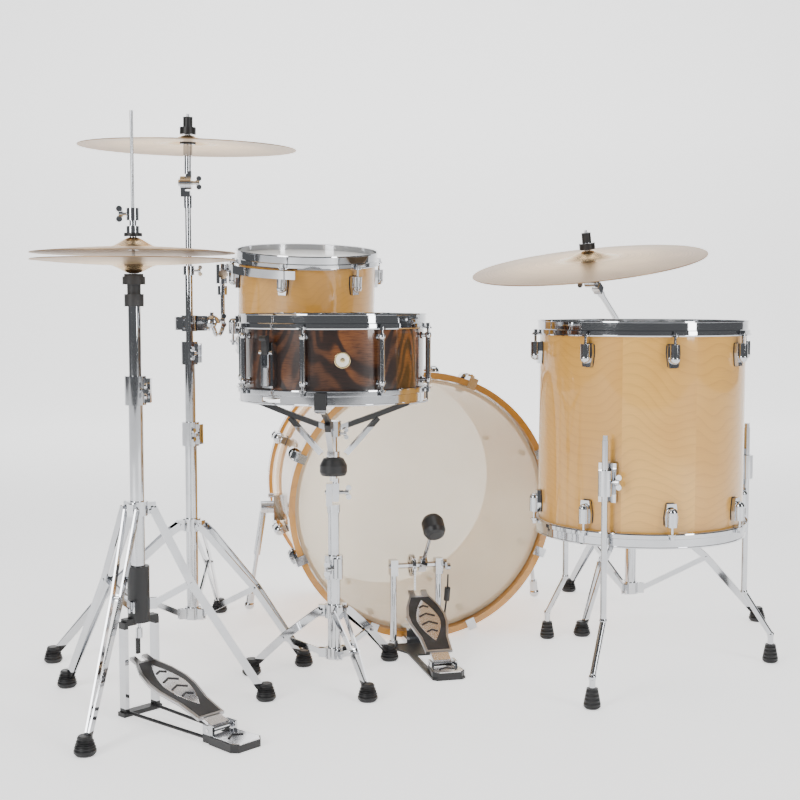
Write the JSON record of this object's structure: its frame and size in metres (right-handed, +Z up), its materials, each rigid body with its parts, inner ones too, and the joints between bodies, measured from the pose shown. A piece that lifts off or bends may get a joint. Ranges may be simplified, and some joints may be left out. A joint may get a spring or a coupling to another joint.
{
  "type": "acoustic drum kit",
  "caption": "Acoustic drum kit with bass drum and pedal, rack tom, snare, floor tom, hi-hat, and crash and ride cymbals on chrome stands.",
  "frame": {"origin": "on the floor under the middle of the kit's bounding box", "axes": "+X to the seated player's right, +Y from the player to the audience, +Z up"},
  "size_m": [1.5952, 1.3193, 1.142],
  "materials": {
    "chrome": "polished chrome plate",
    "maple_shell": "clear gloss over pale maple",
    "maple_hoop": "clear gloss over amber maple",
    "walnut_shell": "gloss over dark figured walnut",
    "cymbal_bronze": "lathed bronze",
    "cream_film": "coated polyester film",
    "clear_film": "coated polyester film",
    "black_plastic": "moulded black",
    "board_metal": "satin cast alloy with black inlay",
    "black_steel": "black steel links",
    "wire_steel": "bright wire"
  },
  "bodies": {
    "root": {"bass_shell": "maple_shell", "bass_hoops": "maple_hoop", "bass_heads": "cream_film", "bass_lugs": "chrome", "bass_claws": "chrome", "bass_spur_brackets": "chrome", "pedal_frame": "chrome", "pedal_spring": "black_plastic", "pedal_chain": "black_steel", "tom_clamp": "chrome", "snare_stand_legs": "chrome", "snare_stand_base": "chrome", "hihat_legs": "chrome", "hihat_base": "chrome", "crash_legs": "chrome", "crash_lower_tube": "chrome", "crash_middle_tube": "chrome", "ride_legs": "chrome", "ride_lower_tube": "chrome", "floor_tom_shell": "maple_shell", "floor_tom_hoops": "chrome", "floor_tom_heads": "clear_film", "floor_tom_lugs": "chrome"},
    "bass_spur_left_leg": {"bass_spur_left": "chrome"},
    "bass_spur_right_leg": {"bass_spur_right": "chrome"},
    "bass_footboard": {"pedal_footboard": "board_metal"},
    "bass_beater": {"pedal_axle": "chrome", "pedal_beater": "black_plastic"},
    "rack_arm": {"tom_arm": "chrome"},
    "rack_tom": {"tom_shell": "maple_shell", "tom_hoops": "chrome", "tom_heads": "clear_film", "tom_lugs": "chrome", "tom_bracket": "chrome"},
    "snare_post": {"snare_stand_upper": "chrome"},
    "snare_drum": {"snare_basket": "chrome", "snare_shell": "walnut_shell", "snare_hoops": "chrome", "snare_heads": "clear_film", "snare_lugs": "chrome", "snare_strainer": "chrome", "snare_wires": "wire_steel"},
    "throw_off": {"snare_lever": "black_plastic"},
    "hihat_post": {"hihat_upper_tube": "chrome", "hihat_seat": "black_plastic", "hihat_bottom_cymbal": "cymbal_bronze"},
    "hihat_rod": {"hihat_pull_rod": "chrome", "hihat_top_cymbal": "cymbal_bronze", "hihat_chain": "black_steel"},
    "hihat_pedal": {"hihat_footboard": "board_metal"},
    "crash_post": {"crash_upper_tube": "chrome"},
    "crash_head": {"crash_tilter": "chrome"},
    "crash_plate": {"crash_cymbal": "cymbal_bronze"},
    "ride_post": {"ride_upper_tube": "chrome"},
    "ride_boom": {"ride_boom_arm": "chrome"},
    "ride_head": {"ride_tilter": "chrome"},
    "ride_plate": {"ride_cymbal": "cymbal_bronze"},
    "floor_leg_front": {"floor_tom_leg_front": "chrome"},
    "floor_leg_right": {"floor_tom_leg_right": "chrome"},
    "floor_leg_rear": {"floor_tom_leg_rear": "chrome"}
  },
  "joints": [
    {"name": "bass_spur_left_fold", "type": "hinge", "parent": "root", "child": "bass_spur_left_leg", "pos_m": [-0.37535, 0.34601, 0.257], "axis": [0.9816, 0.1908, 0], "range_deg": [0, 45]},
    {"name": "bass_spur_right_fold", "type": "hinge", "parent": "root", "child": "bass_spur_right_leg", "pos_m": [0.24386, 0.46637, 0.257], "axis": [0.9816, 0.1908, 0], "range_deg": [0, 45]},
    {"name": "bass_pedal_press", "type": "hinge", "parent": "root", "child": "bass_footboard", "pos_m": [0.02616, -0.15633, 0.019], "axis": [-0.9703, -0.2419, 0], "range_deg": [0, 7.6], "stiffness_Nm_per_rad": 6, "springref_deg": -20.05, "deforming": ["pedal_chain"]},
    {"name": "bass_beater_swing", "type": "hinge", "parent": "root", "child": "bass_beater", "pos_m": [-0.02416, 0.0455, 0.178], "axis": [-0.9703, -0.2419, 0], "range_deg": [0, 64.1], "deforming": ["pedal_spring"]},
    {"name": "rack_arm_swing", "type": "hinge", "parent": "root", "child": "rack_arm", "pos_m": [-0.4635, 0.0697, 0.7], "axis": [0, 0, 1], "range_deg": [0, 10]},
    {"name": "rack_tom_height", "type": "slide", "parent": "rack_arm", "child": "rack_tom", "axis": [0, 0, 1], "range_m": [0, 0.012]},
    {"name": "snare_height", "type": "slide", "parent": "root", "child": "snare_post", "axis": [0, 0, 1], "range_m": [-0.02, 0.06]},
    {"name": "snare_tilt", "type": "hinge", "parent": "snare_post", "child": "snare_drum", "pos_m": [-0.1895, -0.1943, 0.372], "axis": [1, 0, 0], "range_deg": [0, 9]},
    {"name": "snare_throw_off", "type": "hinge", "parent": "snare_drum", "child": "throw_off", "pos_m": [-0.304, -0.34904, 0.6535], "axis": [0.8039, -0.5948, 0], "range_deg": [0, 55]},
    {"name": "hihat_height", "type": "slide", "parent": "root", "child": "hihat_post", "axis": [0, 0, 1], "range_m": [-0.05, 0]},
    {"name": "hihat_close", "type": "slide", "parent": "root", "child": "hihat_rod", "axis": [0, 0, 1], "range_m": [-0.0085, 0], "stiffness_N_per_m": 900, "springref_m": 0.03},
    {"name": "hihat_pedal_press", "type": "hinge", "parent": "root", "child": "hihat_pedal", "pos_m": [-0.36661, -0.56431, 0.022], "axis": [-0.6756, -0.7373, 0], "range_deg": [0, 2.3]},
    {"name": "crash_height", "type": "slide", "parent": "root", "child": "crash_post", "axis": [0, 0, 1], "range_m": [-0.08, 0.04]},
    {"name": "crash_tilt", "type": "hinge", "parent": "crash_post", "child": "crash_head", "pos_m": [-0.5095, 0.0557, 0.998], "axis": [1, 0, 0], "range_deg": [-15, 15]},
    {"name": "crash_spin", "type": "hinge", "parent": "crash_head", "child": "crash_plate", "pos_m": [-0.50762, 0.05279, 1.09594], "axis": [0.0192, -0.0297, 0.9994], "continuous": true},
    {"name": "ride_height", "type": "slide", "parent": "root", "child": "ride_post", "axis": [0, 0, 1], "range_m": [-0.01, 0.04]},
    {"name": "ride_boom_lift", "type": "hinge", "parent": "ride_post", "child": "ride_boom", "pos_m": [0.4875, 0.3117, 0.631], "axis": [-0.8314, 0.5557, 0], "range_deg": [-2, 12]},
    {"name": "ride_tilt", "type": "hinge", "parent": "ride_boom", "child": "ride_head", "pos_m": [0.3565, 0.1157, 0.791], "axis": [-0.8314, 0.5557, 0], "range_deg": [-8, 8]},
    {"name": "ride_spin", "type": "hinge", "parent": "ride_head", "child": "ride_plate", "pos_m": [0.34855, 0.1056, 0.85574], "axis": [-0.1204, -0.153, 0.9809], "continuous": true},
    {"name": "floor_leg_front_slide", "type": "slide", "parent": "root", "child": "floor_leg_front", "axis": [0, 0, 1], "range_m": [0, 0.04]},
    {"name": "floor_leg_right_slide", "type": "slide", "parent": "root", "child": "floor_leg_right", "axis": [0, 0, 1], "range_m": [0, 0.04]},
    {"name": "floor_leg_rear_slide", "type": "slide", "parent": "root", "child": "floor_leg_rear", "axis": [0, 0, 1], "range_m": [0, 0.04]}
  ],
  "couplings": [
    {"joint": "bass_beater_swing", "follows": "bass_pedal_press", "ratio": 8.3},
    {"joint": "hihat_pedal_press", "follows": "hihat_close", "rad_per_m": -4.329}
  ]
}
